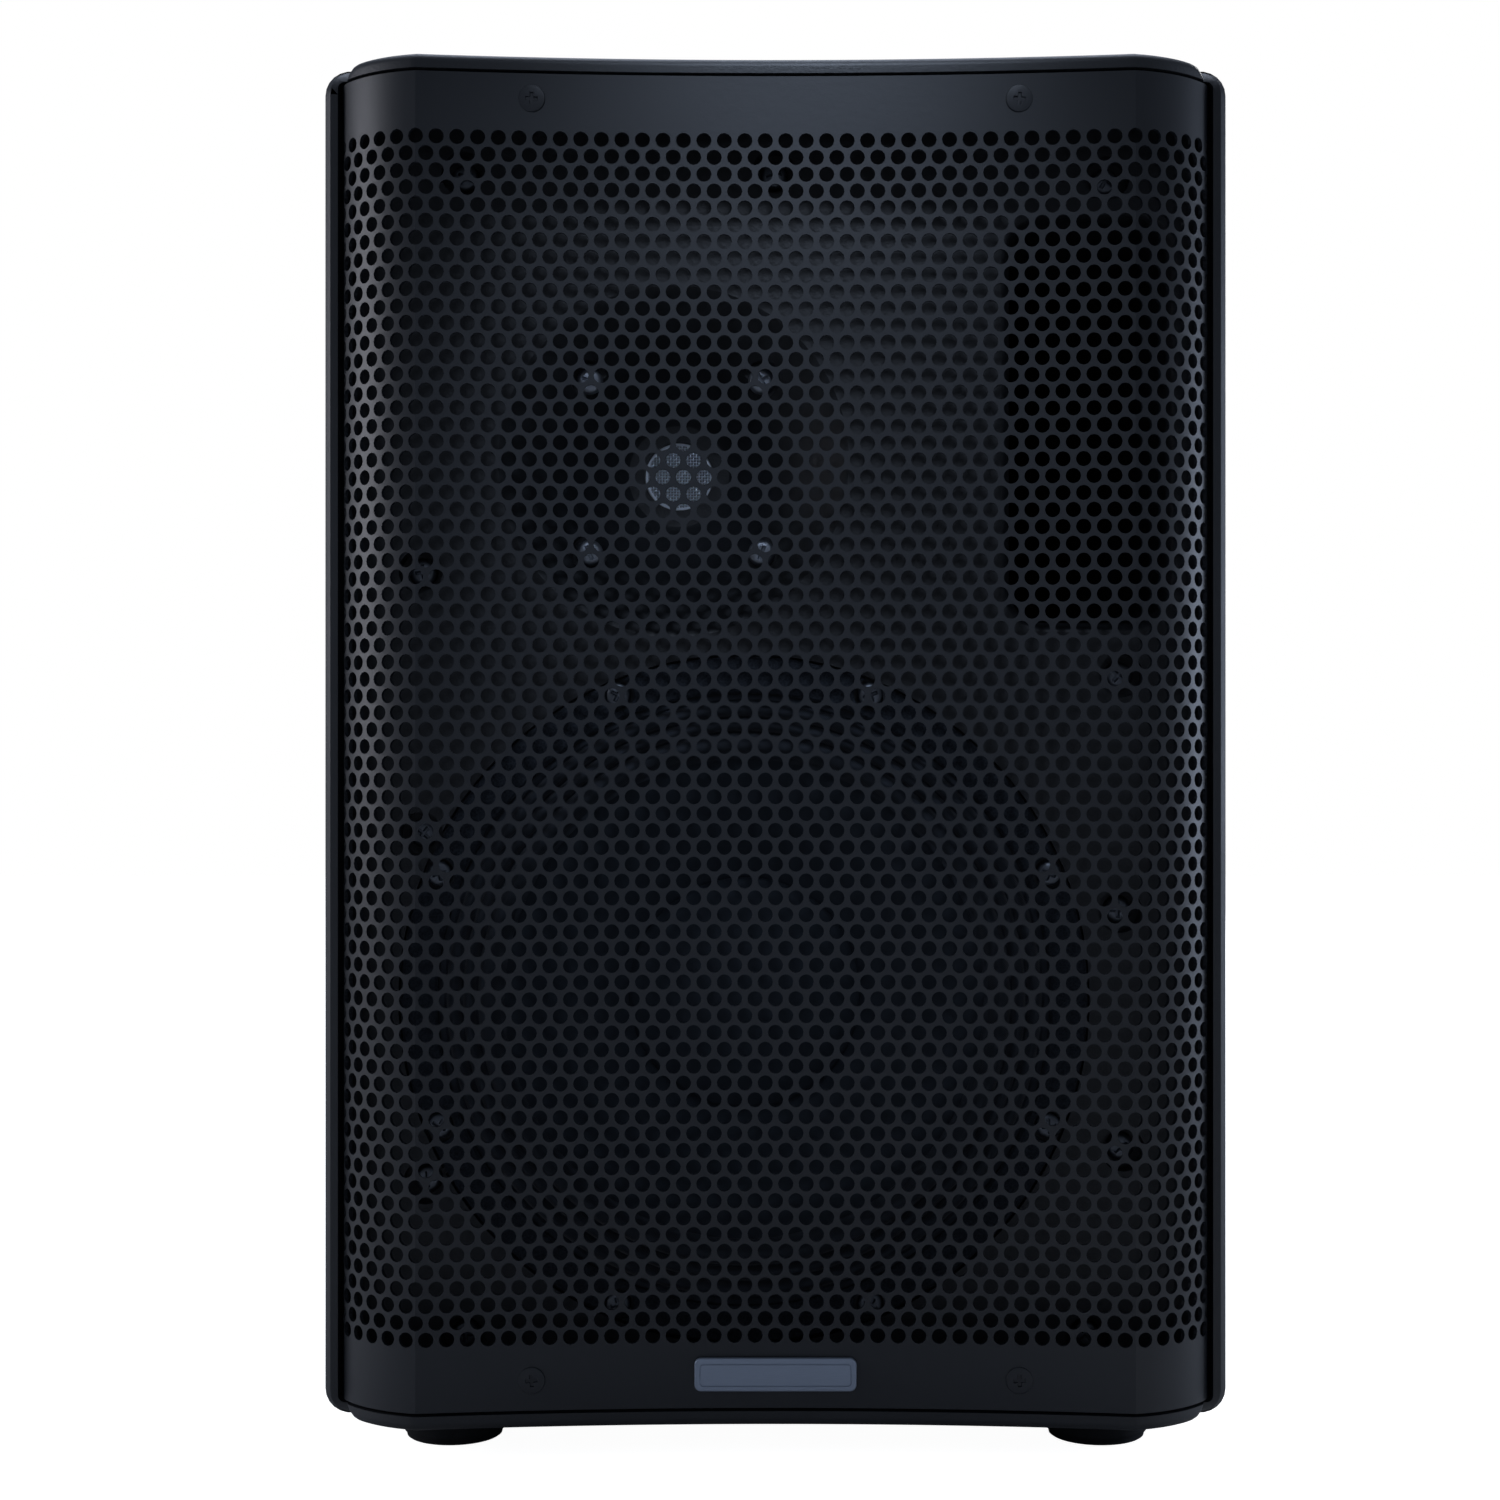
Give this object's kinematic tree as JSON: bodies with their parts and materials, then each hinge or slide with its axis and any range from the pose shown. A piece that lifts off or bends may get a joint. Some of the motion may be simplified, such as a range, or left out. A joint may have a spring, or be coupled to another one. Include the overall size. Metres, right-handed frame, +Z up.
{
  "type": "pa speaker cabinet",
  "caption": "Powered two-way loudspeaker cabinet with a moulded shell, perforated steel grille, woofer, horn-loaded driver, port and rear amplifier panel.",
  "frame": {"origin": "on the floor under the middle of the cabinet's bounding box", "axes": "+Z up, -Y out of the grille, +X to the right seen from the front"},
  "size_m": [0.271, 0.278, 0.415],
  "materials": {
    "shell_plastic": "fine moulded texture",
    "grille_paint": "fine powder coat, satin",
    "badge_plate": "plain satin plate",
    "screw_black": "black oxide",
    "foot_rubber": "matt",
    "basket_paint": "black enamel",
    "gasket_foam": "fine cell foam",
    "surround_cloth": "treated cloth",
    "cone_paper": "treated paper",
    "spider_cloth": "resin treated cloth",
    "coil_copper": "enamelled wire",
    "motor_steel": "zinc plated",
    "ferrite": "sintered",
    "screen_mesh": "woven wire",
    "diaphragm_metal": "satin",
    "insert_brass": "machined",
    "panel_paint": "black powder coat",
    "heat_sink_metal": "black anodised",
    "chassis_metal": "folded sheet",
    "circuit_board": "solder mask",
    "knob_plastic": "satin",
    "connector_plastic": "satin",
    "cable_sheath": "satin",
    "wadding": "polyester fibre"
  },
  "bodies": {
    "root": {"front_shell": "shell_plastic", "rear_shell": "shell_plastic", "port_duct": "shell_plastic", "pole_socket": "shell_plastic", "hf_rear_cover": "shell_plastic", "grille": "grille_paint", "badge": "badge_plate", "grille_screw_1": "screw_black", "grille_screw_2": "screw_black", "grille_screw_3": "screw_black", "grille_screw_4": "screw_black", "woofer_screw_1": "screw_black", "woofer_screw_2": "screw_black", "woofer_screw_3": "screw_black", "woofer_screw_4": "screw_black", "woofer_screw_5": "screw_black", "woofer_screw_6": "screw_black", "woofer_screw_7": "screw_black", "woofer_screw_8": "screw_black", "front_left_foot": "foot_rubber", "front_right_foot": "foot_rubber", "rear_left_foot": "foot_rubber", "rear_right_foot": "foot_rubber", "woofer_basket": "basket_paint", "shell_gasket": "gasket_foam", "woofer_gasket": "gasket_foam", "woofer_surround": "surround_cloth", "woofer_spider": "spider_cloth", "transformer": "coil_copper", "woofer_top_plate": "motor_steel", "woofer_yoke": "motor_steel", "hf_front_plate": "motor_steel", "hf_top_plate": "motor_steel", "woofer_magnet": "ferrite", "hf_magnet": "ferrite", "throat_screen": "screen_mesh", "top_insert": "insert_brass", "amp_panel": "panel_paint", "heat_sink": "heat_sink_metal", "amp_chassis": "chassis_metal", "main_board": "circuit_board", "control_board": "circuit_board", "input_jack_a": "connector_plastic", "input_jack_b": "connector_plastic", "mix_output_jack": "connector_plastic", "aux_jack": "connector_plastic", "power_inlet": "connector_plastic", "power_switch_frame": "connector_plastic", "woofer_cable": "cable_sheath", "hf_cable": "cable_sheath", "damping_pad": "wadding"},
    "cone_assembly": {"woofer_cone": "cone_paper", "woofer_dust_cap": "cone_paper", "voice_coil": "coil_copper"},
    "hf_diaphragm": {"hf_diaphragm": "diaphragm_metal"},
    "preset_knob": {"preset_knob": "knob_plastic"},
    "gain_knob_a": {"gain_knob_a": "knob_plastic"},
    "gain_knob_b": {"gain_knob_b": "knob_plastic"},
    "power_rocker": {"power_rocker": "knob_plastic"},
    "mic_line_switch": {"mic_line_switch": "knob_plastic"}
  },
  "joints": [
    {"name": "woofer_travel", "type": "slide", "parent": "root", "child": "cone_assembly", "axis": [0, 1, 0], "range_m": [-0.004, 0.004], "stiffness_N_per_m": 2500, "deforming": ["woofer_surround", "woofer_spider"]},
    {"name": "hf_diaphragm_travel", "type": "slide", "parent": "root", "child": "hf_diaphragm", "axis": [0, 1, 0], "range_m": [-0.0003, 0.0003], "stiffness_N_per_m": 4000},
    {"name": "preset_knob_turn", "type": "hinge", "parent": "root", "child": "preset_knob", "pos_m": [0, 0.13, 0.2847], "axis": [0, 1, 0], "range_deg": [-60, 60]},
    {"name": "gain_knob_a_turn", "type": "hinge", "parent": "root", "child": "gain_knob_a", "pos_m": [-0.036, 0.13, 0.2507], "axis": [0, 1, 0], "range_deg": [-150, 150]},
    {"name": "gain_knob_b_turn", "type": "hinge", "parent": "root", "child": "gain_knob_b", "pos_m": [0.036, 0.13, 0.2507], "axis": [0, 1, 0], "range_deg": [-150, 150]},
    {"name": "power_rocker_tilt", "type": "hinge", "parent": "root", "child": "power_rocker", "pos_m": [0.036, 0.1235, 0.0813], "axis": [1, 0, 0], "range_deg": [0, 22]},
    {"name": "mic_line_slide", "type": "slide", "parent": "root", "child": "mic_line_switch", "axis": [0, 0, 1], "range_m": [0, 0.004]}
  ]
}
